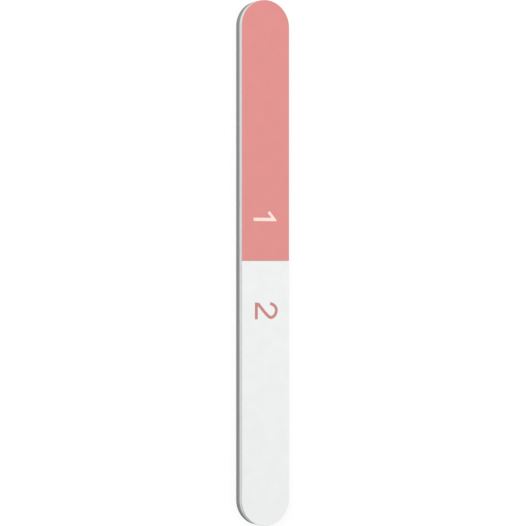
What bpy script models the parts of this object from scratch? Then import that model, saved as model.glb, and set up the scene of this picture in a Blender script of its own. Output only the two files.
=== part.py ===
"""Nail buffer board: a laminated stick with full-round ends and three polishing steps.

Two polishing sheets lie end to end on the front and one shine sheet covers the back.
Under them are two foam pads, taped to a thin stiff core. One die cuts all the layers
together, so they share one outline. The board lies flat, front up: X runs across it,
Y along it towards the step 1 end, and Z through it. The origin is the middle of the
back's face. Lengths are in metres.
"""

from math import cos, pi, sin

import bmesh
import bpy

MM = 0.001

# Outline of the die
BOARD_LENGTH = 180.0 * MM
BOARD_WIDTH = 18.0 * MM
END_FACETS = 40

# Layers, from the back to the front
SHINE_SHEET_THICKNESS = 0.19 * MM
BACK_FOAM_THICKNESS = 1.60 * MM
CORE_THICKNESS = 0.60 * MM
FRONT_FOAM_THICKNESS = 1.60 * MM
STEP_SHEET_THICKNESS = 0.25 * MM
SHEET_ADHESIVE_THICKNESS = 0.10 * MM
CORE_TAPE_THICKNESS = 0.10 * MM

# Clearance between two glued faces
GLUE_LINE = 0.02 * MM

# Butt seam between the two front sheets, its place measured towards the step 1 end
SEAM_FROM_MIDDLE = 0.75 * MM
SEAM_GAP = 0.08 * MM

# The die drags the outer rim of each sheet over as it cuts
RIM_ROLL = 0.14 * MM
RIM_SEGMENTS = 4

# The foam springs back from the die with its cut edge dished
FOAM_DISH = 0.12 * MM
DISH_STEPS = 8

# sRGB colours of the layers
PINK_COAT = "E39490"
WHITE_COAT = "F0F2F1"
GREY_COAT = "9A9C9E"
WHITE_FOAM = "EEF0F0"
GREY_FOAM = "9C9EA0"
GREY_CORE = "A8AAAC"
CLEAR_GLUE = "DDDBD2"


def linear(hex_colour):
    """Turn an sRGB colour written as six hex digits into a linear RGBA tuple."""
    channels = [int(hex_colour[place : place + 2], 16) / 255.0 for place in (0, 2, 4)]
    straight = [c / 12.92 if c <= 0.04045 else ((c + 0.055) / 1.055) ** 2.4 for c in channels]
    return (*straight, 1.0)


def plain_material(name, hex_colour, roughness, metallic=0.0):
    """A Principled material of one colour."""
    material = bpy.data.materials.new(name)
    material.use_nodes = True
    shader = material.node_tree.nodes["Principled BSDF"]
    shader.inputs["Base Color"].default_value = linear(hex_colour)
    shader.inputs["Roughness"].default_value = roughness
    shader.inputs["Metallic"].default_value = metallic
    material.diffuse_color = linear(hex_colour)
    return material


def half_circle(centre_y, radius, start):
    """Points of a half circle about (0, centre_y), anticlockwise from the angle start."""
    angles = [start + pi * step / END_FACETS for step in range(END_FACETS + 1)]
    return [(radius * cos(angle), centre_y + radius * sin(angle)) for angle in angles]


def end_centre():
    """How far from the middle each full-round end has its centre."""
    return (BOARD_LENGTH - BOARD_WIDTH) / 2


def board_outline(inset=0.0):
    """The whole outline of the die, drawn in by inset."""
    radius = BOARD_WIDTH / 2 - inset
    step_1_end = half_circle(end_centre(), radius, 0.0)
    step_2_end = half_circle(-end_centre(), radius, pi)
    return step_1_end + step_2_end


def step_1_outline():
    """The outline on the step 1 side of the seam."""
    side, seam = BOARD_WIDTH / 2, SEAM_FROM_MIDDLE + SEAM_GAP / 2
    return half_circle(end_centre(), side, 0.0) + [(-side, seam), (side, seam)]


def step_2_outline():
    """The outline on the step 2 side of the seam."""
    side, seam = BOARD_WIDTH / 2, SEAM_FROM_MIDDLE - SEAM_GAP / 2
    return half_circle(-end_centre(), side, pi) + [(side, seam), (-side, seam)]


def flat_layer(name, outline, thickness, material):
    """A layer with square edges: its outline as a filled flat curve, extruded both ways."""
    curve = bpy.data.curves.new(name, "CURVE")
    curve.dimensions = "2D"
    curve.fill_mode = "BOTH"
    curve.extrude = thickness / 2
    spline = curve.splines.new("POLY")
    spline.points.add(len(outline) - 1)
    for point, (x, y) in zip(spline.points, outline):
        point.co = (x, y, 0.0, 1.0)
    spline.use_cyclic_u = True
    curve.materials.append(material)
    return bpy.data.objects.new(name, curve)


def mesh_object(name, bm, material):
    """Turn the working mesh into an object of one material."""
    mesh = bpy.data.meshes.new(name)
    bm.to_mesh(mesh)
    bm.free()
    mesh.materials.append(material)
    return bpy.data.objects.new(name, mesh)


def face_sheet(name, outline, thickness, outer_side, material):
    """A polishing sheet whose outer rim is rolled over wherever the die cut it.

    outer_side is 1 for a sheet that faces up and -1 for one that faces down. A straight
    side that crosses the board is a seam, which was cut before the sheet was laid, so
    it stays square.
    """
    bm = bmesh.new()
    inner = [bm.verts.new((x, y, -outer_side * thickness / 2)) for x, y in outline]
    grown = bmesh.ops.extrude_face_region(bm, geom=[bm.faces.new(inner)])
    outer = {part for part in grown["geom"] if isinstance(part, bmesh.types.BMVert)}
    bmesh.ops.translate(bm, verts=list(outer), vec=(0.0, 0.0, outer_side * thickness))
    bmesh.ops.recalc_face_normals(bm, faces=bm.faces)

    weight = bm.edges.layers.float.new("bevel_weight_edge")
    for edge in bm.edges:
        first, second = edge.verts
        crosses_board = abs(first.co.x - second.co.x) > BOARD_WIDTH / 2
        if first in outer and second in outer and not crosses_board:
            edge[weight] = 1.0

    sheet = mesh_object(name, bm, material)
    roll = sheet.modifiers.new("rolled_rim", "BEVEL")
    roll.limit_method = "WEIGHT"
    roll.width = RIM_ROLL
    roll.segments = RIM_SEGMENTS
    return sheet


def foam_pad(name, thickness, material):
    """A foam pad lofted through copies of the outline, drawn in most at mid-height."""
    bm = bmesh.new()
    rings = []
    for step in range(DISH_STEPS + 1):
        height = thickness * step / DISH_STEPS
        inset = FOAM_DISH * sin(pi * step / DISH_STEPS)
        corners = [bm.verts.new((x, y, height - thickness / 2)) for x, y in board_outline(inset)]
        rings.append([bm.edges.new(pair) for pair in zip(corners, corners[1:] + corners[:1])])
    for lower, upper in zip(rings, rings[1:]):
        bmesh.ops.bridge_loops(bm, edges=lower + upper)
    bmesh.ops.holes_fill(bm, edges=rings[0] + rings[-1])
    bmesh.ops.recalc_face_normals(bm, faces=bm.faces)
    return mesh_object(name, bm, material)


class Board:
    """The laminate as it is pressed together, one layer on top of the last."""

    def __init__(self, name):
        self.collection = bpy.data.collections.new(name)
        bpy.context.scene.collection.children.link(self.collection)
        self.origin = bpy.data.objects.new(name + "_origin", None)
        self.collection.objects.link(self.origin)
        self.level = 0.0

    def lay(self, thickness, *pieces):
        """Lay one or more pieces of one thickness, side by side, on what is there."""
        for piece in pieces:
            piece.parent = self.origin
            piece.location.z = self.level + thickness / 2
            self.collection.objects.link(piece)
        self.level += thickness + GLUE_LINE


def clear_scene():
    """Take out the objects that the file opened with."""
    for obj in list(bpy.data.objects):
        bpy.data.objects.remove(obj, do_unlink=True)


def build_nail_buffer():
    """Lay up the board from its back to its front."""
    glue = plain_material("acrylic_adhesive", CLEAR_GLUE, 0.35)
    tape = plain_material("double_sided_tape", CLEAR_GLUE, 0.45)
    shine_coat = plain_material("grey_shine_coat", GREY_COAT, 0.5)
    pink_coat = plain_material("pink_smoothing_coat", PINK_COAT, 0.7)
    white_coat = plain_material("white_polishing_coat", WHITE_COAT, 0.7)
    grey_foam = plain_material("grey_eva_foam", GREY_FOAM, 0.9)
    white_foam = plain_material("white_eva_foam", WHITE_FOAM, 0.9)
    plastic = plain_material("grey_polystyrene", GREY_CORE, 0.4)
    board = Board("nail_buffer")
    whole, half_1, half_2 = board_outline(), step_1_outline(), step_2_outline()

    thickness = SHINE_SHEET_THICKNESS
    board.lay(thickness, face_sheet("shine_sheet", whole, thickness, -1, shine_coat))

    thickness = SHEET_ADHESIVE_THICKNESS
    board.lay(thickness, flat_layer("shine_adhesive", whole, thickness, glue))

    thickness = BACK_FOAM_THICKNESS
    board.lay(thickness, foam_pad("back_foam_pad", thickness, grey_foam))

    thickness = CORE_TAPE_THICKNESS
    board.lay(thickness, flat_layer("back_core_tape", whole, thickness, tape))

    thickness = CORE_THICKNESS
    board.lay(thickness, flat_layer("core_plate", whole, thickness, plastic))

    thickness = CORE_TAPE_THICKNESS
    board.lay(thickness, flat_layer("front_core_tape", whole, thickness, tape))

    thickness = FRONT_FOAM_THICKNESS
    board.lay(thickness, foam_pad("front_foam_pad", thickness, white_foam))

    thickness = SHEET_ADHESIVE_THICKNESS
    step_1_glue = flat_layer("step_1_adhesive", half_1, thickness, glue)
    step_2_glue = flat_layer("step_2_adhesive", half_2, thickness, glue)
    board.lay(thickness, step_1_glue, step_2_glue)

    thickness = STEP_SHEET_THICKNESS
    step_1_sheet = face_sheet("step_1_sheet", half_1, thickness, 1, pink_coat)
    step_2_sheet = face_sheet("step_2_sheet", half_2, thickness, 1, white_coat)
    board.lay(thickness, step_1_sheet, step_2_sheet)


clear_scene()
build_nail_buffer()
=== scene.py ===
"""Looks of the nail buffer board: polishing sheets, foam pads, core, tapes and numerals.

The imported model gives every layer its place. Each layer is made again here as a smooth
die-cut slab with its own finish, and the abrasive grains and the printed numerals lie on
top. X runs across the board, Y along it towards the step 1 end and Z up through it, all
in metres.
"""

import logging
import math
from abc import ABC, abstractmethod
from collections.abc import Callable, Iterator
from contextlib import contextmanager
from dataclasses import dataclass
from enum import Enum
from functools import partial

import bmesh
import bpy
from mathutils import Matrix, Vector
from mathutils.geometry import interpolate_bezier


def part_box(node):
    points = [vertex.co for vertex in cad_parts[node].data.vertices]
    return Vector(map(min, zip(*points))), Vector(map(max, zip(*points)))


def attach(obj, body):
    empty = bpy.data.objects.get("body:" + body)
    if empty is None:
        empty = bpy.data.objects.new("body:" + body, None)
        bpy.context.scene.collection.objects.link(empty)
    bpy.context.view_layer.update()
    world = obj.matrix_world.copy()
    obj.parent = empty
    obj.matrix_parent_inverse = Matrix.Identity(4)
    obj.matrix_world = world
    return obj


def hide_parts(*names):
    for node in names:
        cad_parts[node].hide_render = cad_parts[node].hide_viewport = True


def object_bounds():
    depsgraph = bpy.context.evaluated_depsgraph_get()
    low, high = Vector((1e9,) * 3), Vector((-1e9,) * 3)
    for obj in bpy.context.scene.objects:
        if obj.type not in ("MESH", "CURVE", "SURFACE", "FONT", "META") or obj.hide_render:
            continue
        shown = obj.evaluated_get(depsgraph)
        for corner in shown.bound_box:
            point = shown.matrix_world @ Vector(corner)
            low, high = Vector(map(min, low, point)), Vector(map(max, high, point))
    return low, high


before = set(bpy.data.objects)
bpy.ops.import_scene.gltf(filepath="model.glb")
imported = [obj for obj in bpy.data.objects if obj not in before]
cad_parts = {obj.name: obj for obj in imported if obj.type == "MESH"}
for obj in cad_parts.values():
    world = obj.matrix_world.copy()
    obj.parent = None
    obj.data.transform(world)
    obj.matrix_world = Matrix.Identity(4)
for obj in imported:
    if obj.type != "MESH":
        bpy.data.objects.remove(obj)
cad_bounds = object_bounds()

log = logging.getLogger("nail_buffer")

MM = 0.001
MERGE = 0.001 * MM
UP = Vector((0.0, 0.0, 1.0))
BODY = "root"
# A node with the die's whole outline
OUTLINE_NODE = "core_plate"
# The Mix node's sockets for colours, whose names its other sockets have too
MIX_SHARE, MIX_FROM, MIX_TO, MIXED = 0, 6, 7, 2

Socket = bpy.types.NodeSocket
Outputs = bpy.types.NodeOutputs
AddNode = Callable[..., Outputs]
Range = tuple[float, float]
Point = tuple[float, float]
Linear = tuple[float, float, float, float]


class Span(Enum):
    """How much of the die's outline a layer covers, and which way it runs from the seam."""

    WHOLE = 0
    STEP_1 = 1
    STEP_2 = -1


class Facing(Enum):
    """Which way a sheet's working face looks."""

    UP = 1
    DOWN = -1


def add_node(
    tree: bpy.types.NodeTree,
    kind: str,
    inputs: dict | tuple = (),
    captured: dict | None = None,
    **settings: object,
) -> Outputs:
    """Add a node to a tree, set it up and link it.

    Args:
        tree: The shader or geometry tree.
        kind: The node's Blender type name.
        inputs: Input name or index, to a value, to the output socket that feeds it or to a
            list of those that do. A tuple is for the first inputs, in their order.
        captured: Name to kind of each field that the node captures, if it does.
        settings: Properties of the node itself.

    Returns:
        The new node's outputs.
    """
    node = tree.nodes.new(kind)
    for name, value in settings.items():
        setattr(node, name, value)
    for name, field_kind in (captured or {}).items():
        node.capture_items.new(field_kind, name)
    for key, value in inputs.items() if isinstance(inputs, dict) else enumerate(inputs):
        for source in value if isinstance(value, list) else [value]:
            if isinstance(source, Socket):
                tree.links.new(source, node.inputs[key])
            else:
                node.inputs[key].default_value = source
    return node.outputs


def linear(hex_colour: str, tone: float = 1.0) -> Linear:
    """Turn an sRGB colour into linear light.

    Args:
        hex_colour: Six hex digits.
        tone: How much lighter or darker to make it.

    Returns:
        Red, green and blue, at most 1, and an alpha of 1.
    """
    channels = [int(hex_colour[place : place + 2], 16) / 255.0 for place in (0, 2, 4)]
    straight = [c / 12.92 if c <= 0.04045 else ((c + 0.055) / 1.055) ** 2.4 for c in channels]
    red, green, blue = (min(1.0, c * tone) for c in straight)
    return red, green, blue, 1.0


def link_object(name: str, data: bpy.types.ID) -> bpy.types.Object:
    """Make an object of some data and put it in the scene.

    Args:
        name: The object's name.
        data: Its mesh, curve, lamp or camera.

    Returns:
        The new object, at the origin.
    """
    made = bpy.data.objects.new(name, data)
    bpy.context.scene.collection.objects.link(made)
    return made


def plain_mesh(name: str, source: bpy.types.Object) -> bpy.types.Mesh:
    """Keep an object's shape, as its modifiers or its curve fill leave it, as a plain mesh.

    Args:
        name: The mesh's name.
        source: The object, which is removed with its modifiers.

    Returns:
        The mesh, in the source's own coordinates.
    """
    graph = bpy.context.evaluated_depsgraph_get()
    mesh = bpy.data.meshes.new_from_object(source.evaluated_get(graph), depsgraph=graph)
    mesh.name = name
    for place, material in reversed(list(enumerate(mesh.materials))):
        if material is None:
            mesh.materials.pop(index=place)
    bpy.data.objects.remove(source)
    return mesh


@contextmanager
def opened(mesh: bpy.types.Mesh) -> Iterator[bmesh.types.BMesh]:
    """Open a mesh to change it, and write it back.

    Args:
        mesh: The mesh.

    Returns:
        Its editable form, for a with statement.
    """
    bm = bmesh.new()
    bm.from_mesh(mesh)
    yield bm
    bm.to_mesh(mesh)
    bm.free()


def drawn_line(name: str, points: list[Point], closed: bool = False) -> bpy.types.Object:
    """Draw a line of straight steps in the XY plane.

    Args:
        name: The curve's name.
        points: Its points.
        closed: Whether the last point joins the first.

    Returns:
        The curve's object.
    """
    curve = bpy.data.curves.new(name, "CURVE")
    spline = curve.splines.new("POLY")
    spline.points.add(len(points) - 1)
    for knot, (x, y) in zip(spline.points, points):
        knot.co = (x, y, 0.0, 1.0)
    spline.use_cyclic_u = closed
    return link_object(name, curve)


@dataclass(frozen=True, kw_only=True)
class Finish(ABC):
    """What a surface is made of and how it was made.

    Attributes:
        name: The real material, and how its surface was made.
        colour: Its sRGB colour, six hex digits.
        roughness: Its roughness at the foot and at the top of its relief.
        relief: How high its relief stands, in metres.
        ior: Its index of refraction.
    """

    name: str
    colour: str
    roughness: Range
    relief: float
    ior: float = 1.5

    # What the colour is multiplied by at the foot and at the top of its pattern
    TONES = (1.0, 1.0)
    # A range of Noise Texture that holds nearly all of its values
    NOISE_RANGE = (0.3, 0.7)

    def material(self) -> bpy.types.Material:
        """Make the material, or give the one that pieces of this finish already share.

        Returns:
            A Principled BSDF with the finish's patterns.
        """
        shared = bpy.data.materials.get(self.name)
        if shared is not None:
            return shared
        material = bpy.data.materials.new(self.name)
        material.use_nodes = True
        material.diffuse_color = linear(self.colour)
        tree = material.node_tree
        add = partial(add_node, tree)
        colour, height = self.patterns(add, add("ShaderNodeTexCoord")["Object"])
        foot, top = self.roughness
        rough = add("ShaderNodeMapRange", {"Value": height, "To Min": foot, "To Max": top})[0]
        normal = add("ShaderNodeBump", {"Distance": self.relief, "Height": height})[0]
        shader = tree.nodes["Principled BSDF"].inputs
        shader["IOR"].default_value = self.ior
        for name, pattern in (("Base Color", colour), ("Roughness", rough), ("Normal", normal)):
            tree.links.new(pattern, shader[name])
        return material

    @abstractmethod
    def patterns(self, add: AddNode, place: Socket) -> tuple[Socket, Socket]:
        """Draw the finish's patterns.

        Args:
            add: Adds a node to the material's tree.
            place: Object coordinates, in metres.

        Returns:
            The colour, and the height of the relief from 0 to 1.
        """

    def mottle(
        self, add: AddNode, place: Socket, size: float, spread: Range = (0.0, 1.0)
    ) -> Socket:
        """Give noise with features of a size in metres, and values between the spread's ends."""
        clouds = add("ShaderNodeTexNoise", {"Vector": place, "Scale": 1.0 / size})["Fac"]
        return add("ShaderNodeMapRange", (clouds, *self.NOISE_RANGE, *spread))[0]

    def toned(self, add: AddNode, pattern: Socket, shade: Socket | None = None) -> Socket:
        """Let the colour's tone follow a pattern.

        Args:
            add: Adds a node to the material's tree.
            pattern: The pattern, from 0 to 1.
            shade: What else the colour is multiplied by, if anything.

        Returns:
            The colour.
        """
        foot, top = (linear(self.colour, tone) for tone in self.TONES)
        links = {MIX_SHARE: pattern, MIX_FROM: foot, MIX_TO: top}
        colour = add("ShaderNodeMix", links, data_type="RGBA")[MIXED]
        if shade is None:
            return colour
        return add("ShaderNodeVectorMath", {0: colour, "Scale": shade}, operation="SCALE")[0]


@dataclass(frozen=True, kw_only=True)
class AbrasiveCoat(Finish):
    """Aluminium oxide grit in a resin coat, on a white polyester film.

    The coat is matt and even, with a fine grain and faint clouds where the resin was laid
    a little thicker. The die cuts through coat and film, so the film shows as a white
    line in the cut edge.

    Attributes:
        film: sRGB colour of the film under the coat.
        coat_level: Height at which the coat starts, in metres.
        grit: Grain size, in metres.
    """

    roughness: Range = (0.54, 0.7)
    film: str = "F4F4F2"
    coat_level: float
    grit: float

    TONES = (0.96, 1.04)
    CLOUD_TONES = (0.985, 1.015)
    CLOUD_SIZE = 5.0 * MM
    LEVEL_FADE = 0.01 * MM

    def patterns(self, add: AddNode, place: Socket) -> tuple[Socket, Socket]:
        """Grain the coat, and leave it off the film's share of the cut edge.

        Args:
            add: Adds a node to the material's tree.
            place: Object coordinates, in metres.

        Returns:
            The colour and the grain.
        """
        grain = self.mottle(add, place, self.grit)
        clouds = self.mottle(add, place, self.CLOUD_SIZE, self.CLOUD_TONES)
        height = add("ShaderNodeSeparateXYZ", (place,))["Z"]
        low, high = self.coat_level - self.LEVEL_FADE, self.coat_level + self.LEVEL_FADE
        coated = add("ShaderNodeMapRange", (height, low, high))[0]
        links = {MIX_SHARE: coated, MIX_FROM: linear(self.film)}
        links[MIX_TO] = self.toned(add, grain, clouds)
        return add("ShaderNodeMix", links, data_type="RGBA")[MIXED], grain


@dataclass(frozen=True, kw_only=True)
class BuffingCoat(Finish):
    """Soft vinyl coat of the shine side, calendered smooth.

    It has no grit. It is satin with a faint pebble of shallow dimples, and a little
    glossier on the crowns between them. The dimples are painted a little darker, as
    shade, and the crowns a little lighter.

    Attributes:
        pebble: Distance between the dimples, in metres.
    """

    roughness: Range = (0.55, 0.35)
    relief: float = 0.01 * MM
    # The real pebble is finer than 0.1 mm, and is drawn coarser to show
    pebble: float = 0.3 * MM

    # Painted shade: the colour is darker in the dimples and lighter on the crowns
    TONES = (0.93, 1.04)
    # Distance from a dimple's middle, in dimples, where it starts to rise and is a crown
    CROWNS = (0.1, 0.6)
    SMOOTHNESS = 0.6
    CLOUD_TONES = (0.97, 1.03)
    CLOUD_SIZE = 7.0 * MM

    def patterns(self, add: AddNode, place: Socket) -> tuple[Socket, Socket]:
        """Press the pebble into the coat.

        Args:
            add: Adds a node to the material's tree.
            place: Object coordinates, in metres.

        Returns:
            The colour and the crowns.
        """
        links = {"Vector": place, "Scale": 1.0 / self.pebble, "Smoothness": self.SMOOTHNESS}
        dimples = add("ShaderNodeTexVoronoi", links, feature="SMOOTH_F1")["Distance"]
        crowns_and_shade = add("ShaderNodeMapRange", (dimples, *self.CROWNS))[0]
        clouds = self.mottle(add, place, self.CLOUD_SIZE, self.CLOUD_TONES)
        # The colour follows the crowns, with painted shade in the dimples
        return self.toned(add, crowns_and_shade, clouds), crowns_and_shade


@dataclass(frozen=True, kw_only=True)
class CutFoam(Finish):
    """Closed-cell EVA foam, cut through by the die.

    The cut opens the cells, so the edge is dull, with pale cell walls round hollows
    that are painted darker, as shade, and the cells differ a little in tone.

    Attributes:
        cell: Mean width of a cell, in metres.
    """

    roughness: Range = (0.92, 0.8)
    relief: float = 0.01 * MM
    # EVA cells are 0.1 to 0.2 mm wide, and the widest are drawn, so that they show
    cell: float = 0.2 * MM

    TONES = (0.93, 1.05)
    # Painted shade: what the colour is multiplied by in the hollows of the cells
    HOLLOW_SHADE = 0.9
    # Distance from a cell's edge, in cells, where its wall starts to fall and is a hollow
    WALL_EDGES = (0.02, 0.2)
    # Shift of the walls from straight, in cells
    WAVER = 0.7

    def patterns(self, add: AddNode, place: Socket) -> tuple[Socket, Socket]:
        """Open the cells.

        Args:
            add: Adds a node to the material's tree.
            place: Object coordinates, in metres.

        Returns:
            The colour and the cell walls.
        """
        fineness = {"Scale": 1.0 / self.cell}
        drift = add("ShaderNodeTexNoise", {"Vector": place} | fineness)["Color"]
        links = (drift, (self.WAVER * self.cell,) * 3, place)
        wavered = add("ShaderNodeVectorMath", links, operation="MULTIPLY_ADD")[0]
        links = {"Vector": wavered} | fineness
        cells = add("ShaderNodeTexVoronoi", links)["Color"]
        one_each = add("ShaderNodeSeparateColor", (cells,))["Red"]
        edges = add("ShaderNodeTexVoronoi", links, feature="DISTANCE_TO_EDGE")["Distance"]
        # The hollows are painted darker, as shade, and the walls stand up as relief
        hollow_shade, walls = (
            add("ShaderNodeMapRange", (edges, *self.WALL_EDGES, 1.0, inside))[0]
            for inside in (self.HOLLOW_SHADE, 0.0)
        )
        return self.toned(add, one_each, hollow_shade), walls


@dataclass(frozen=True, kw_only=True)
class ShearedPlastic(Finish):
    """Sheet polystyrene, sheared by the die.

    The shear leaves a satin edge with fine upright drag lines, some of them paler where
    the plastic was stressed.

    Attributes:
        drag_pitch: Distance between drag lines, in metres.
    """

    roughness: Range = (0.5, 0.34)
    relief: float = 0.008 * MM
    # The real lines are finer, and are drawn coarser to show
    drag_pitch: float = 0.12 * MM

    TONES = (0.9, 1.1)
    UPRIGHT_STRETCH = 8.0

    def patterns(self, add: AddNode, place: Socket) -> tuple[Socket, Socket]:
        """Draw the drag lines down the cut edge.

        Args:
            add: Adds a node to the material's tree.
            place: Object coordinates, in metres.

        Returns:
            The colour and the drag lines.
        """
        links = {"Vector": place, "Scale": (1.0, 1.0, 1.0 / self.UPRIGHT_STRETCH)}
        drags = self.mottle(add, add("ShaderNodeMapping", links)[0], self.drag_pitch)
        return self.toned(add, drags), drags


@dataclass(frozen=True, kw_only=True)
class TackyEdge(Finish):
    """Acrylic adhesive, laid as a film and cut with the board.

    The glue has a warm cast and stays tacky at the cut, so it is glossy between the
    specks of grey dust that it has caught.

    Attributes:
        speck: Width of a dust speck, in metres.
        dust: sRGB colour of the dust.
    """

    roughness: Range = (0.3, 0.9)
    relief: float = 0.01 * MM
    ior: float = 1.47
    # Dust is finer, and is drawn coarser to show
    speck: float = 0.15 * MM
    dust: str = "A8A6A0"

    # Only the highest tenth or so of the noise holds dust
    NOISE_RANGE = (0.58, 0.66)

    def patterns(self, add: AddNode, place: Socket) -> tuple[Socket, Socket]:
        """Catch dust on the glue.

        Args:
            add: Adds a node to the material's tree.
            place: Object coordinates, in metres.

        Returns:
            The colour and the dust.
        """
        dust = self.mottle(add, place, self.speck)
        links = {MIX_SHARE: dust, MIX_FROM: linear(self.colour), MIX_TO: linear(self.dust)}
        return add("ShaderNodeMix", links, data_type="RGBA")[MIXED], dust


@dataclass(frozen=True, kw_only=True)
class ScreenInk(Finish):
    """Screen ink, one thick pass over the coat.

    The ink fills the grain only in part, so it is matt and a little uneven, and thinner
    in small spots.

    Attributes:
        grit: Grain size of the coat under it, in metres.
    """

    roughness: Range = (0.54, 0.66)
    grit: float

    TONES = (0.975, 1.02)

    def patterns(self, add: AddNode, place: Socket) -> tuple[Socket, Socket]:
        """Let the grain show through the ink, in its colour and in its relief."""
        grain = self.mottle(add, place, self.grit)
        return self.toned(add, grain), grain


class ShapeTree(ABC):
    """A geometry tree that makes a shape from its named inputs alone."""

    NAME = ""
    # Input name to kind of socket
    INPUTS: dict[str, str] = {}

    def __init__(self) -> None:
        """Make the inputs and the output, and draw the shape between them."""
        self.tree = bpy.data.node_groups.new(self.NAME, "GeometryNodeTree")
        sockets = [(name, "INPUT", kind) for name, kind in self.INPUTS.items()]
        for name, way, kind in (*sockets, ("Geometry", "OUTPUT", "Geometry")):
            self.tree.interface.new_socket(name, in_out=way, socket_type="NodeSocket" + kind)
        self.add = partial(add_node, self.tree)
        self.given = self.add("NodeGroupInput")
        self.add("NodeGroupOutput", {"Geometry": self.draw()})

    @abstractmethod
    def draw(self) -> Socket:
        """Draw the shape.

        Returns:
            The real geometry, with its materials.
        """

    def run(self, name: str, values: dict) -> bpy.types.Mesh:
        """Run the tree and keep what it makes.

        Args:
            name: The mesh's name.
            values: Input name to value.

        Returns:
            The finished mesh.
        """
        host = link_object(name + "_host", bpy.data.meshes.new(name + "_host"))
        modifier = host.modifiers.new(name, "NODES")
        modifier.node_group = self.tree
        for item in self.tree.interface.items_tree:
            if item.in_out == "INPUT":
                modifier[item.identifier] = values[item.name]
        return plain_mesh(name, host)


class SlabTree(ShapeTree):
    """Geometry Nodes that sweep a layer's edge round the die's outline and cap it.

    The slab stands on the XY plane, closed and facing outwards.
    """

    NAME = "die_cut_slab"
    INPUTS = {
        "Length": "Float",
        "Width": "Float",
        "Edge": "Object",
        "Columns": "Int",
        "Rows": "Int",
        "Cell Size": "Float",
        "Cell Depth": "Float",
        "Seed": "Int",
        "Material": "Material",
    }
    ARC_POINTS = 128
    # Moves a grid of size 1, so that it runs from 0 to 1 both ways
    TO_CORNER = (0.5, 0.5, 0.0)
    # Distance from a cell's middle, in cells, where its cup is deepest and where it ends
    CUP = (0.1, 0.55)
    # How steeply the cups come in from the rims, against a sine wave
    RIM_FADE = 3.0
    HALFWAY_UP = 0.5

    def draw(self) -> Socket:
        """Wrap the wall round the outline and cap it."""
        edge = self.add("GeometryNodeObjectInfo", (self.given["Edge"],))["Geometry"]
        return self.cap(*self.wrap(edge), edge)

    def outline(self) -> Socket:
        """Draw the die's outline: a rectangle whose ends are rounded off in full.

        Returns:
            The closed curve, anticlockwise.
        """
        add, width = self.add, self.given["Width"]
        links = {"Width": width, "Height": self.given["Length"]}
        rectangle = add("GeometryNodeCurvePrimitiveQuadrilateral", links)["Curve"]
        radius = add("ShaderNodeMath", (width, 2.0), operation="DIVIDE")[0]
        links = {"Curve": rectangle, "Count": self.ARC_POINTS, "Radius": radius}
        return add("GeometryNodeFilletCurve", links, mode="POLY")["Curve"]

    def wrap(self, edge: Socket) -> tuple[Socket, Socket]:
        """Wrap a grid round the outline: its columns go round, and its rows go up the edge.

        Args:
            edge: The edge's profile, as inset and height.

        Returns:
            The wall, its two ends joined, and how far up the wall a point is, from 0 to 1.
        """
        add = self.add
        links = {"Size X": 1.0, "Size Y": 1.0}
        for across, steps in (("Vertices X", "Columns"), ("Vertices Y", "Rows")):
            links[across] = add("ShaderNodeMath", (self.given[steps], 1.0))[0]
        grid = add("GeometryNodeMeshGrid", links)["Mesh"]
        spot = add("GeometryNodeInputPosition")[0]
        shifted = add("ShaderNodeVectorMath", (spot, self.TO_CORNER))[0]
        share = add("ShaderNodeSeparateXYZ", (shifted,))

        links = {"Curves": self.outline(), "Factor": share["X"]}
        around = add("GeometryNodeSampleCurve", links)
        links = (around["Tangent"], UP)
        outwards = add("ShaderNodeVectorMath", links, operation="CROSS_PRODUCT")[0]
        outwards = add("ShaderNodeVectorMath", (outwards,), operation="NORMALIZE")[0]
        links = {"Curves": edge, "Factor": share["Y"]}
        up_edge = add("GeometryNodeSampleCurve", links)["Position"]
        profile = add("ShaderNodeSeparateXYZ", (up_edge,))
        rise = add("ShaderNodeCombineXYZ", {"Z": profile["Y"]})[0]
        standing = add("ShaderNodeVectorMath", (around["Position"], rise))[0]

        depth = self.open_cells(standing, share["Y"])
        inset = add("ShaderNodeMath", (profile["X"], depth))[0]
        links = {0: outwards, "Scale": inset}
        inwards = add("ShaderNodeVectorMath", links, operation="SCALE")[0]
        place = add("ShaderNodeVectorMath", (standing, inwards), operation="SUBTRACT")[0]

        links = {"Geometry": grid, "up": share["Y"]}
        kept = add("GeometryNodeCaptureAttribute", links, captured={"up": "FLOAT"})
        links = {"Geometry": kept["Geometry"], "Position": place}
        wrapped = add("GeometryNodeSetPosition", links)[0]
        wall = add("GeometryNodeMergeByDistance", {"Geometry": wrapped, "Distance": MERGE})[0]
        return wall, kept["up"]

    def open_cells(self, place: Socket, up: Socket) -> Socket:
        """Cut cups into the wall, one at the middle of each cell, and none at the two rims.

        Args:
            place: Where a point of the wall is.
            up: How far up the wall it is, from 0 to 1.

        Returns:
            How deep the point lies in its cup.
        """
        add = self.add
        links = (1.0, self.given["Cell Size"])
        fineness = add("ShaderNodeMath", links, operation="DIVIDE")[0]
        links = {0: place, "Scale": fineness}
        in_cells = add("ShaderNodeVectorMath", links, operation="SCALE")[0]
        shift = add("ShaderNodeCombineXYZ", {"X": self.given["Seed"]})[0]
        moved = add("ShaderNodeVectorMath", (in_cells, shift))[0]
        cells = add("ShaderNodeTexVoronoi", {"Vector": moved, "Scale": 1.0})
        links = (cells["Distance"], *self.CUP, 1.0, 0.0)
        cup = add("ShaderNodeMapRange", links, interpolation_type="SMOOTHSTEP")[0]
        one_each = add("ShaderNodeSeparateXYZ", (cells["Color"],))["X"]
        half_turn = add("ShaderNodeMath", (up, math.pi), operation="MULTIPLY")[0]
        swell = add("ShaderNodeMath", (half_turn,), operation="SINE")[0]
        links = (swell, self.RIM_FADE)
        inner = add("ShaderNodeMath", links, operation="MULTIPLY", use_clamp=True)[0]
        depth = self.given["Cell Depth"]
        for factor in (cup, one_each, inner):
            depth = add("ShaderNodeMath", (depth, factor), operation="MULTIPLY")[0]
        return depth

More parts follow.
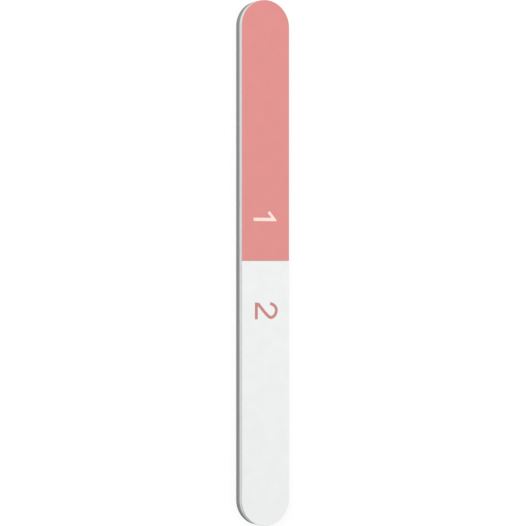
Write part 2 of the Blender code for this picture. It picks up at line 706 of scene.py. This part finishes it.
    def cap(self, wall: Socket, up: Socket, edge: Socket) -> Socket:
        """Fill the two rims, and close and dress the slab.

        Args:
            wall: The wall.
            up: How far up the wall a point is, from 0 to 1.
            edge: The edge's profile, as inset and height.

        Returns:
            The slab.
        """
        add = self.add
        faces_met = add("GeometryNodeInputMeshEdgeNeighbors")[0]
        # Inputs 2 and 3 are those for whole numbers, and a rim's edges meet one face each
        links = {2: faces_met, 3: 1}
        rims = add("FunctionNodeCompare", links, data_type="INT", operation="EQUAL")[0]
        high = add("FunctionNodeCompare", (up, self.HALFWAY_UP))[0]
        low = add("FunctionNodeBooleanMath", (high,), operation="NOT")[0]
        caps = []
        for side in (low, high):
            chosen = add("FunctionNodeBooleanMath", (rims, side))[0]
            loop = add("GeometryNodeMeshToCurve", {"Mesh": wall, "Selection": chosen})[0]
            caps.append(add("GeometryNodeFillCurve", {"Curve": loop}, mode="NGONS")[0])
        bottom = add("GeometryNodeFlipFaces", {"Mesh": caps[0]})[0]
        end = add("GeometryNodeSampleCurve", {"Curves": edge, "Factor": 1.0})["Position"]
        height = add("ShaderNodeSeparateXYZ", (end,))["Y"]
        lift = add("ShaderNodeCombineXYZ", {"Z": height})[0]
        top = add("GeometryNodeTransform", {"Geometry": caps[1], "Translation": lift})[0]

        smooth = add("GeometryNodeSetShadeSmooth", {"Geometry": wall})[0]
        joined = add("GeometryNodeJoinGeometry", {"Geometry": [smooth, bottom, top]})[0]
        closed = add("GeometryNodeMergeByDistance", {"Geometry": joined, "Distance": MERGE})[0]
        real = add("GeometryNodeRealizeInstances", {"Geometry": closed})[0]
        links = {"Geometry": real, "Material": self.given["Material"]}
        return add("GeometryNodeSetMaterial", links)[0]


class GritTree(ShapeTree):
    """Geometry Nodes that bed abrasive grains in a sheet's working face.

    Grains that lie under the sheet's printed numeral are raised on the ink and inked.
    """

    NAME = "bedded_grit"
    INPUTS = {
        "Sheet": "Object",
        "Print": "Object",
        "Grain Size": "Float",
        "Spacing": "Float",
        "Seed": "Int",
        "Coat": "Material",
        "Ink": "Material",
    }
    # Random points laid for each square of the spacing, of which the most even are kept
    CHOICE = 4.0
    # How straight up a face has to look, to be the flat one
    FLAT = 0.999
    # A grain has four faces round it over its waist, and four under it
    SEGMENTS = 4
    RINGS = 2
    # A grain's furthest tilt, in radians, and its least and greatest scale
    TILT = 0.3
    SMALLEST = (0.6, 0.6, 0.2)
    LARGEST = (1.15, 1.15, 0.4)
    # How far above and below the face the print is looked for
    REACH = 1.0 * MM

    def draw(self) -> Socket:
        """Strew points over the sheet and bed a grain at each."""
        return self.bed(*self.strew())

    def strew(self) -> tuple[Socket, Socket]:
        """Strew points evenly over the sheet's flat face, and lift those under the print.

        Returns:
            The points, and whether each is inked.
        """
        add, spacing = self.add, self.given["Spacing"]
        sheet = add("GeometryNodeObjectInfo", (self.given["Sheet"],))["Geometry"]
        normal = add("GeometryNodeInputNormal")["Normal"]
        upward = add("ShaderNodeSeparateXYZ", (normal,))["Z"]
        is_face = add("FunctionNodeCompare", (upward, self.FLAT))[0]
        square = add("ShaderNodeMath", (spacing, spacing), operation="MULTIPLY")[0]
        density = add("ShaderNodeMath", (self.CHOICE, square), operation="DIVIDE")[0]
        links = {"Mesh": sheet, "Selection": is_face, "Distance Min": spacing}
        links |= {"Density Max": density, "Seed": self.given["Seed"]}
        even = {"distribute_method": "POISSON"}
        strewn = add("GeometryNodeDistributePointsOnFaces", links, **even)["Points"]

        spot = add("GeometryNodeInputPosition")[0]
        above = add("ShaderNodeVectorMath", (spot, UP * self.REACH))[0]
        ink = add("GeometryNodeObjectInfo", (self.given["Print"],))["Geometry"]
        links = {"Target Geometry": ink, "Source Position": above}
        links |= {"Ray Direction": (0.0, 0.0, -1.0), "Ray Length": 2.0 * self.REACH}
        found = add("GeometryNodeRaycast", links)
        links = {"Geometry": strewn, "inked": found["Is Hit"], "ink": found["Hit Position"]}
        fields = {"inked": "BOOLEAN", "ink": "VECTOR"}
        kept = add("GeometryNodeCaptureAttribute", links, captured=fields)
        links = {"Geometry": kept["Geometry"], "Selection": kept["inked"]}
        raised = add("GeometryNodeSetPosition", links | {"Position": kept["ink"]})[0]
        return raised, kept["inked"]

    def bed(self, points: Socket, inked: Socket) -> Socket:
        """Bed a tilted eight-sided grain at each point, half sunk, and dress it.

        Args:
            points: Where the grains lie.
            inked: Whether a grain is inked.

        Returns:
            The grains.
        """
        add, given = self.add, self.given
        radius = add("ShaderNodeMath", (given["Grain Size"], 2.0), operation="DIVIDE")[0]
        links = {"Segments": self.SEGMENTS, "Rings": self.RINGS, "Radius": radius}
        grain = add("GeometryNodeMeshUVSphere", links)["Mesh"]
        links = {"Points": points, "Instance": grain}
        tilts = (-self.TILT, -self.TILT, 0.0), (self.TILT, self.TILT, math.tau)
        scales = self.SMALLEST, self.LARGEST
        for name, (least, most) in (("Rotation", tilts), ("Scale", scales)):
            ends = {0: least, 1: most, "Seed": given["Seed"]}
            links[name] = add("FunctionNodeRandomValue", ends, data_type="FLOAT_VECTOR")[0]
        bedded = add("GeometryNodeInstanceOnPoints", links)[0]
        real = add("GeometryNodeRealizeInstances", {"Geometry": bedded})[0]
        links = {"Geometry": real, "Material": given["Coat"]}
        coated = add("GeometryNodeSetMaterial", links)[0]
        links = {"Geometry": coated, "Selection": inked, "Material": given["Ink"]}
        return add("GeometryNodeSetMaterial", links)[0]


@dataclass
class Layer(ABC):
    """One die-cut layer of the board, in the place of its CAD node.

    Attributes:
        name: The piece's name.
        node: The CAD node that it stands for.
        slot: The record's slot for its finish. It is not used.
        finish: Its finish.
        span: How much of the outline it covers.
    """

    name: str
    node: str
    slot: str
    finish: Finish
    span: Span = Span.WHOLE

    # How finely the outline and the edge are drawn
    COLUMN_PITCH = 0.3 * MM
    ROWS = 2
    # The cups in the edge, which only foam has
    CELL_SIZE = 0.45 * MM
    CELL_DEPTH = 0.0
    # How far the layer flows into the clearance on both its faces
    FLOW = 0.0

    @property
    def foot(self) -> float:
        """Height of the layer's lower face."""
        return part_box(self.node)[0].z - self.FLOW

    @property
    def thickness(self) -> float:
        """How thick the layer is."""
        low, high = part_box(self.node)
        return high.z - low.z + 2.0 * self.FLOW

    @abstractmethod
    def edge(self) -> list[Point]:
        """Draw the cut edge in section.

        Returns:
            Inset and height of its points, from the bottom rim to the top rim.
        """

    def placing(self) -> Matrix:
        """Where the slab goes, from the XY plane."""
        return Matrix.Translation(UP * self.foot)

    def build(self, slabs: SlabTree) -> bpy.types.Object:
        """Args:
            slabs: The tree that makes slabs.

        Returns:
            The finished piece.
        """
        lowest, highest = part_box(OUTLINE_NODE)
        length, width = highest.y - lowest.y, highest.x - lowest.x
        girth = 2.0 * (length - width) + math.pi * width
        edge = drawn_line(self.name + "_edge", self.edge())
        values = {
            "Length": length,
            "Width": width,
            "Edge": edge,
            "Columns": round(girth / self.COLUMN_PITCH),
            "Rows": self.ROWS,
            "Cell Size": self.CELL_SIZE,
            "Cell Depth": self.CELL_DEPTH,
            "Seed": len(self.name),
            "Material": self.finish.material(),
        }
        mesh = slabs.run(self.name, values)
        bpy.data.objects.remove(edge)
        mesh.transform(self.placing())
        if self.span is not Span.WHOLE:
            self.cut_at_seam(mesh)
        piece = link_object(self.name, mesh)
        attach(piece, BODY)
        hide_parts(self.node)
        faces, thickness = len(mesh.polygons), self.thickness / MM
        log.info("%s: %d faces, %.2f mm thick", self.name, faces, thickness)
        return piece

    def cut_at_seam(self, mesh: bpy.types.Mesh) -> None:
        """Cut off what lies past the seam, and close the cut with a square face.

        Args:
            mesh: The whole layer's mesh, which is changed.
        """
        low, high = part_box(self.node)
        seam = low.y if self.span is Span.STEP_1 else high.y
        with opened(mesh) as bm:
            cut = bmesh.ops.bisect_plane(
                bm,
                geom=[*bm.verts, *bm.edges, *bm.faces],
                plane_co=(0.0, seam, 0.0),
                plane_no=(0.0, -self.span.value, 0.0),
                clear_outer=True,
            )
            rim = [part for part in cut["geom_cut"] if isinstance(part, bmesh.types.BMEdge)]
            bmesh.ops.holes_fill(bm, edges=rim)
            bmesh.ops.recalc_face_normals(bm, faces=bm.faces)


@dataclass
class FlatLayer(Layer):
    """A layer with a square edge."""

    def edge(self) -> list[Point]:
        """Draw a square edge, from rim to rim."""
        return [(0.0, 0.0), (0.0, self.thickness)]


@dataclass
class GlueLayer(FlatLayer):
    """A tape or an adhesive film, pressed up against the layers that it holds.

    The CAD model leaves a glue line of 0.02 mm on both its faces. The real glue fills it.
    """

    FLOW = 0.0195 * MM


@dataclass
class FoamPad(Layer):
    """A foam pad. It springs back from the die dished, with its cells cut open.

    Attributes:
        dish: How far the edge is drawn in at mid-height.
        seat: How full the pad is, from slack to tight. It is not used.
    """

    dish: float = 0.12 * MM
    seat: float = 0.9

    # The cups are drawn coarser than the foam's real cells, so that they show
    COLUMN_PITCH = 0.12 * MM
    ROWS = 13
    CELL_DEPTH = 0.07 * MM
    DISH_STEPS = 24

    def edge(self) -> list[Point]:
        """Draw a dished edge.

        Returns:
            Points of half a sine wave.
        """
        shares = [step / self.DISH_STEPS for step in range(self.DISH_STEPS + 1)]
        height = self.thickness
        return [(self.dish * math.sin(math.pi * share), height * share) for share in shares]

    def build(self, slabs: SlabTree) -> bpy.types.Object:
        """Args:
            slabs: The tree that makes slabs.

        Returns:
            The finished piece.
        """
        pad = super().build(slabs)
        return pad


@dataclass
class CoatedSheet(Layer):
    """A coated film whose outer rim the die has rolled over.

    Attributes:
        facing: Which way the coat looks.
        roll: Radius of the rolled rim.
    """

    facing: Facing = Facing.UP
    roll: float = 0.14 * MM

    ROWS = 10
    ROLL_STEPS = 12

    def edge(self) -> list[Point]:
        """Draw a straight edge that ends in a quarter round.

        Returns:
            Its points.
        """
        foot = self.thickness - self.roll
        points = [(0.0, 0.0)]
        for step in range(self.ROLL_STEPS + 1):
            turn = math.pi / 2 * step / self.ROLL_STEPS
            inset = self.roll * (1.0 - math.cos(turn))
            points.append((inset, foot + self.roll * math.sin(turn)))
        return points

    def placing(self) -> Matrix:
        """Where the slab goes, turned over if its coat looks down.

        Returns:
            The move from the XY plane.
        """
        if self.facing is Facing.UP:
            return super().placing()
        lift = Matrix.Translation(UP * (self.foot + self.thickness))
        return lift @ Matrix.Rotation(math.pi, 4, "Y")


@dataclass(kw_only=True)
class Numeral(ABC):
    """A numeral printed on a step, turned a quarter to the right.

    Its outline is drawn upright, and the turn takes up to +X and right to -Y.

    Attributes:
        name: The piece's name.
        slot: The record's slot for its ink. It is not used.
        finish: The ink.
        foot: Where the outline's origin goes on the board.
        height: The numeral's height.
        stroke: Width of its main stroke.
        ink: Thickness of the ink.
    """

    name: str
    slot: str
    finish: Finish
    foot: Point
    height: float
    stroke: float
    ink: float = 0.02 * MM

    @abstractmethod
    def outline(self) -> list[Point]:
        """Draw the numeral upright.

        Returns:
            The corners of its outline.
        """

    def build(self, level: float) -> bpy.types.Object:
        """Print the numeral.

        Args:
            level: Height of the face that it is printed on.

        Returns:
            The finished piece.
        """
        drawn = drawn_line(self.name + "_drawn", self.outline(), closed=True)
        drawn.data.dimensions = "2D"
        drawn.data.fill_mode = "BOTH"
        drawn.data.extrude = self.ink / 2
        mesh = plain_mesh(self.name, drawn)
        lift = Matrix.Translation((*self.foot, level + self.ink / 2))
        mesh.transform(lift @ Matrix.Rotation(-math.pi / 2, 4, "Z"))
        with opened(mesh) as bm:
            bmesh.ops.remove_doubles(bm, verts=bm.verts, dist=MERGE)
            bmesh.ops.recalc_face_normals(bm, faces=bm.faces)
        mesh.materials.clear()
        mesh.materials.append(self.finish.material())
        piece = link_object(self.name, mesh)
        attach(piece, BODY)
        log.info("%s: %.1f mm high", self.name, self.height / MM)
        return piece


@dataclass(kw_only=True)
class NumeralOne(Numeral):
    """The numeral 1: an upright with a slanting flag and no foot.

    Its outline runs to the left and up from the foot of the upright's right side.

    Attributes:
        tip: Upper corner of the flag's free end.
        crown: Width of the level top.
        flag: Width of the flag's stroke.
    """

    tip: Point = (-3.48 * MM, 6.12 * MM)
    crown: float = 0.42 * MM
    flag: float = 0.97 * MM

    def outline(self) -> list[Point]:
        """Draw the upright and its flag.

        Returns:
            The corners of the outline, from the foot of the upright's right side.
        """
        tip = Vector(self.tip)
        slope = Vector((-self.crown, self.height)) - tip
        inner = tip + Vector((slope.y, -slope.x)).normalized() * self.flag
        crotch = inner + slope * (-self.stroke - inner.x) / slope.x
        return [
            (0.0, 0.0),
            (0.0, self.height),
            (-self.crown, self.height),
            self.tip,
            inner.to_tuple(),
            crotch.to_tuple(),
            (-self.stroke, 0.0),
        ]


@dataclass(kw_only=True)
class NumeralTwo(Numeral):
    """The numeral 2: one stroke over a bowl and down a slant, and a bar along the foot.

    Its outline runs to the right and up from the foot of its left side.

    Attributes:
        width: Length of the bar.
        terminal: Middle of the stroke's free end.
        crest: Middle of the stroke at its highest.
        bulge: Middle of the stroke at its furthest right.
        heel: Middle of the stroke where the slant meets the bar.
    """

    width: float = 5.8 * MM
    terminal: Point = (0.4 * MM, 5.8 * MM)
    crest: Point = (2.73 * MM, 8.17 * MM)
    bulge: Point = (5.2 * MM, 6.05 * MM)
    heel: Point = (0.18 * MM, 0.92 * MM)

    # The Bezier handles at the two ends of each leg between those points, in mm
    HANDLES = (
        ((0.35, 1.35), (-1.25, 0.0)),
        ((1.25, 0.0), (0.0, 1.15)),
        ((0.0, -0.9), (2.75, 2.35)),
    )
    STEPS = 24

    def centre_line(self) -> list[Vector]:
        """Draw the middle of the stroke, from its free end to the heel.

        Returns:
            Its points.
        """
        stops = [Vector(stop) for stop in (self.terminal, self.crest, self.bulge, self.heel)]
        points = []
        for start, end, (leaving, arriving) in zip(stops, stops[1:], self.HANDLES):
            handles = (start + Vector(leaving) * MM, end + Vector(arriving) * MM)
            points += interpolate_bezier(start, *handles, end, self.STEPS + 1)[:-1]
        return [Vector(point[:2]) for point in points] + stops[-1:]

    def outline(self) -> list[Point]:
        """Draw both sides of the stroke and the bar that it runs into.

        Returns:
            The corners of the outline, from the free end.
        """
        line = self.centre_line()
        right, left = [], []
        for before, here, after in zip(line[:1] + line, line, line[1:] + line[-1:]):
            along = (after - before).normalized()
            aside = Vector((-along.y, along.x)) * self.stroke / 2
            left.append(here + aside)
            right.append(here - aside)
        over_bar = [point for point in left if point.y > self.stroke]
        half_way = self.terminal[1] / 2
        from_side = [point for point in right if point.x > 0.0 or point.y > half_way]
        bar = [(self.width, self.stroke), (self.width, 0.0), (0.0, 0.0)]
        return [tuple(p) for p in over_bar] + bar + [tuple(p) for p in reversed(from_side)]


@dataclass
class FoamCore:
    """The two foam pads and the stiff core that they are taped to.

    Attributes:
        front: Foam of the pad under the steps.
        back: Foam of the pad under the shine side.
        plastic: Plastic of the core.
        tape: Adhesive of the tapes, greyer than that of the sheets.
    """

    front: Finish = CutFoam(name="white_eva_foam_cut", colour="F6F7F7")
    back: Finish = CutFoam(name="grey_eva_foam_cut", colour="95979A")
    plastic: Finish = ShearedPlastic(name="grey_polystyrene_sheared", colour="939597")
    tape: Finish = TackyEdge(
        name="double_sided_tape_cut", colour="C4C3BE", roughness=(0.35, 0.9)
    )

    def build(self, slabs: SlabTree) -> None:
        """Make the pads, the core and the tapes.

        Args:
            slabs: The tree that makes slabs.
        """
        FoamPad("front_foam", "front_foam_pad", "white_foam", self.front).build(slabs)
        FoamPad("back_foam", "back_foam_pad", "grey_foam", self.back).build(slabs)
        FlatLayer("stiff_core", "core_plate", "core_plastic", self.plastic).build(slabs)
        GlueLayer("front_tape", "front_core_tape", "tape", self.tape).build(slabs)
        GlueLayer("back_tape", "back_core_tape", "tape", self.tape).build(slabs)


# The adhesive under all three sheets
SHEET_GLUE = TackyEdge(name="acrylic_adhesive_cut", colour="E4E2DA")


@dataclass
class ShineSide:
    """The grey polishing sheet of the back, and the adhesive that holds it.

    Attributes:
        coat: Coat of the sheet.
    """

    coat: Finish = BuffingCoat(name="grey_vinyl_calendered", colour="9A9C9E")

    def build(self, slabs: SlabTree) -> None:
        """Make the sheet and its adhesive.

        Args:
            slabs: The tree that makes slabs.
        """
        down = Facing.DOWN
        CoatedSheet("shine_face", "shine_sheet", "shine_coat", self.coat, facing=down).build(slabs)
        GlueLayer("shine_glue", "shine_adhesive", "adhesive", SHEET_GLUE).build(slabs)


@dataclass(kw_only=True)
class Step:
    """One polishing step of the front: its sheet, adhesive, grains and numeral.

    Attributes:
        number: The step's number.
        span: The part of the outline that it covers.
        colour: sRGB colour of the coat.
        slot: The record's slot for the coat.
        grit: Size of its grains.
        spacing: Distance between grains.
        numeral: Its printed numeral.
    """

    number: int
    span: Span
    colour: str
    slot: str
    grit: float
    spacing: float = 0.27 * MM
    numeral: Numeral

    # The film is a little over half of the sheet
    FILM_SHARE = 0.55
    # Between the large grains, the resin lets one part in this many of the grit stand out
    RELIEF_PARTS = 12

    def build(self, slabs: SlabTree, grits: GritTree) -> None:
        """Make the step.

        Args:
            slabs: The tree that makes slabs.
            grits: The tree that beds grains.
        """
        step = f"step_{self.number}"
        low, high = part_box(step + "_sheet")
        coat = AbrasiveCoat(
            name=step + "_resin_bonded_grit",
            colour=self.colour,
            coat_level=low.z + self.FILM_SHARE * (high.z - low.z),
            grit=self.grit,
            relief=self.grit / self.RELIEF_PARTS,
        )
        sheet = CoatedSheet(step + "_face", step + "_sheet", self.slot, coat, self.span)
        glue = GlueLayer(step + "_glue", step + "_adhesive", "adhesive", SHEET_GLUE, self.span)
        face = sheet.build(slabs)
        glue.build(slabs)
        self.strew_grit(step + "_grit", grits, face, self.numeral.build(high.z))

    def strew_grit(
        self, name: str, grits: GritTree, face: bpy.types.Object, numeral: bpy.types.Object
    ) -> None:
        """Bed the step's grains in its face.

        Args:
            name: The piece's name.
            grits: The tree that beds grains.
            face: The sheet.
            numeral: The printed numeral, whose grains are inked.
        """
        values = {
            "Sheet": face,
            "Print": numeral,
            "Grain Size": self.grit,
            "Spacing": self.spacing,
            "Seed": self.number,
            "Coat": face.data.materials[0],
            "Ink": numeral.data.materials[0],
        }
        grains = link_object(name, grits.run(name, values))
        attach(grains, BODY)
        sides = GritTree.SEGMENTS * GritTree.RINGS
        log.info("%s: %d grains", name, len(grains.data.polygons) // sides)


@dataclass(frozen=True)
class SoftLamp:
    """A square soft lamp that looks at the board.

    Attributes:
        name: The lamp's name.
        place: Where it hangs.
        size: Its width.
        power: Its power, in watts.
    """

    name: str
    place: tuple[float, float, float]
    size: float
    power: float

    def hang(self) -> None:
        """Hang the lamp and aim it."""
        data = bpy.data.lights.new(self.name, "AREA")
        data.size = self.size
        data.energy = self.power
        lamp = link_object(self.name, data)
        lamp.location = self.place
        lamp.rotation_euler = (-Vector(self.place)).to_track_quat("-Z", "Y").to_euler()


@dataclass
class Studio:
    """A pale table under soft lamps, seen from above and a little from the left.

    Attributes:
        lens: Focal length of the camera, in mm on a sensor 36 mm wide.
        distance: Camera to the middle of the board's front.
        tilt: How far the camera leans to the left of straight above, in degrees.
        to_left: How far the view's middle lies left of the board's middle.
        lamps: The key lamp on the left, and the fill lamp on the right.
    """

    lens: float = 140.0
    distance: float = 700.0 * MM
    tilt: float = 26.6
    to_left: float = 0.95 * MM
    lamps: tuple[SoftLamp, SoftLamp] = (
        SoftLamp("key_lamp", (-0.68, 0.5, 0.75), size=0.55, power=6.9),
        SoftLamp("fill_lamp", (0.42, 0.0, 0.65), size=0.65, power=2.76),
    )

    TABLE = "E6E6E6"
    TABLE_SIZE = 4.0
    # A hair under the board, so that the two faces don't fight
    TABLE_LEVEL = -0.02 * MM
    # How much of the table at the board is its own light, and not the light and shadow on it
    TABLE_WHITE = 0.78
    # From where to where the table turns to its own light alone, so that no horizon shows
    TABLE_FADE = (0.15, 0.7)
    # That light's strength: for the board, and for the eye, where the lit table is just white
    TABLE_LIGHT = (0.52, 1.1)
    # The same for the sky
    SKY_LIGHT = (0.31, 1.0)

    def build(self) -> None:
        """Set the table, the lamps, the sky and the camera."""
        self.set_camera()
        self.set_table()
        self.set_sky()
        for lamp in self.lamps:
            lamp.hang()
        bpy.context.scene.view_settings.view_transform = "Standard"

    def set_camera(self) -> None:
        """Set the camera above the board and lean it over."""
        data = bpy.data.cameras.new("camera")
        data.lens = self.lens
        camera = link_object("camera", data)
        middle = Matrix.Translation(UP * cad_bounds[1].z)
        lean = Matrix.Rotation(-math.radians(self.tilt), 4, "Y")
        back = Matrix.Translation((-self.to_left, 0.0, self.distance))
        camera.matrix_world = middle @ lean @ back
        bpy.context.scene.camera = camera

    def set_table(self) -> None:
        """Lay a pale table that looks white and still takes the board's shadow."""
        mesh = bpy.data.meshes.new("table")
        with opened(mesh) as bm:
            bmesh.ops.create_grid(bm, size=self.TABLE_SIZE / 2)
            bmesh.ops.translate(bm, verts=bm.verts, vec=UP * self.TABLE_LEVEL)
        material = bpy.data.materials.new("pale_laminate")
        # The table is so near the board that it isn't sampled well as a lamp
        material.cycles.emission_sampling = "NONE"
        material.use_nodes = True
        material.node_tree.nodes.clear()
        add = partial(add_node, material.node_tree)
        glow = self.where_seen(add, *self.TABLE_LIGHT)
        pale = add("ShaderNodeBsdfDiffuse", {"Color": linear(self.TABLE)})[0]
        white = add("ShaderNodeEmission", {"Strength": glow})[0]
        spot = add("ShaderNodeTexCoord")["Object"]
        away = add("ShaderNodeVectorMath", (spot,), operation="LENGTH")["Value"]
        links = (away, *self.TABLE_FADE, self.TABLE_WHITE, 1.0)
        own_light = add("ShaderNodeMapRange", links)[0]
        top = add("ShaderNodeMixShader", (own_light, pale, white))[0]
        underneath = add("ShaderNodeNewGeometry")["Backfacing"]
        clear = add("ShaderNodeBsdfTransparent")[0]
        sides = add("ShaderNodeMixShader", (underneath, top, clear))[0]
        add("ShaderNodeOutputMaterial", {"Surface": sides})
        mesh.materials.append(material)
        link_object("table", mesh)

    def where_seen(self, add: AddNode, unseen: float, seen: float) -> Socket:
        """Tell the rays that see or mirror a thing from those that it only lights.

        Args:
            add: Adds a node to the tree of the table's material or of the sky.
            unseen: The strength for light.
            seen: The strength for sight, mirrors and glass.

        Returns:
            The strength.
        """
        rays = add("ShaderNodeLightPath")
        sight = rays["Is Camera Ray"]
        for other in ("Is Glossy Ray", "Is Transmission Ray"):
            sight = add("ShaderNodeMath", (sight, rays[other]), operation="MAXIMUM")[0]
        return add("ShaderNodeMapRange", {"Value": sight, "To Min": unseen, "To Max": seen})[0]

    def set_sky(self) -> None:
        """Make an even sky that is white where it is seen or mirrored."""
        world = bpy.data.worlds.new("studio_sky")
        bpy.context.scene.world = world
        world.use_nodes = True
        world.node_tree.nodes.clear()
        add = partial(add_node, world.node_tree)
        links = {"Color": linear("FFFFFF"), "Strength": self.where_seen(add, *self.SKY_LIGHT)}
        add("ShaderNodeOutputWorld", {"Surface": add("ShaderNodeBackground", links)[0]})


def main() -> None:
    """Dress the board, layer by layer, and set the studio."""
    logging.basicConfig(level=logging.INFO, format="%(message)s")
    Studio().build()
    slabs, grits = SlabTree(), GritTree()
    FoamCore().build(slabs)
    ShineSide().build(slabs)

    grit = 0.12 * MM
    one = NumeralOne(
        name="numeral_1",
        slot="white_coat",
        finish=ScreenInk(
            name="cream_screen_ink", colour="FFE4DA", grit=grit, relief=0.006 * MM
        ),
        foot=(-4.66 * MM, 14.33 * MM),
        height=8.76 * MM,
        stroke=1.15 * MM,
    )
    smoothing = Step(
        number=1, span=Span.STEP_1, colour="DF8C88", slot="pink_coat", grit=grit, numeral=one
    )
    smoothing.build(slabs, grits)

    grit = 0.08 * MM
    two = NumeralTwo(
        name="numeral_2",
        slot="pink_coat",
        finish=ScreenInk(
            name="pink_screen_ink", colour="C6807B", grit=grit, relief=0.004 * MM
        ),
        foot=(-4.13 * MM, -13.46 * MM),
        height=8.7 * MM,
        stroke=1.04 * MM,
    )
    polishing = Step(
        number=2, span=Span.STEP_2, colour="F0F2F1", slot="white_coat", grit=grit, numeral=two
    )
    polishing.build(slabs, grits)


if __name__ == "__main__":
    main()
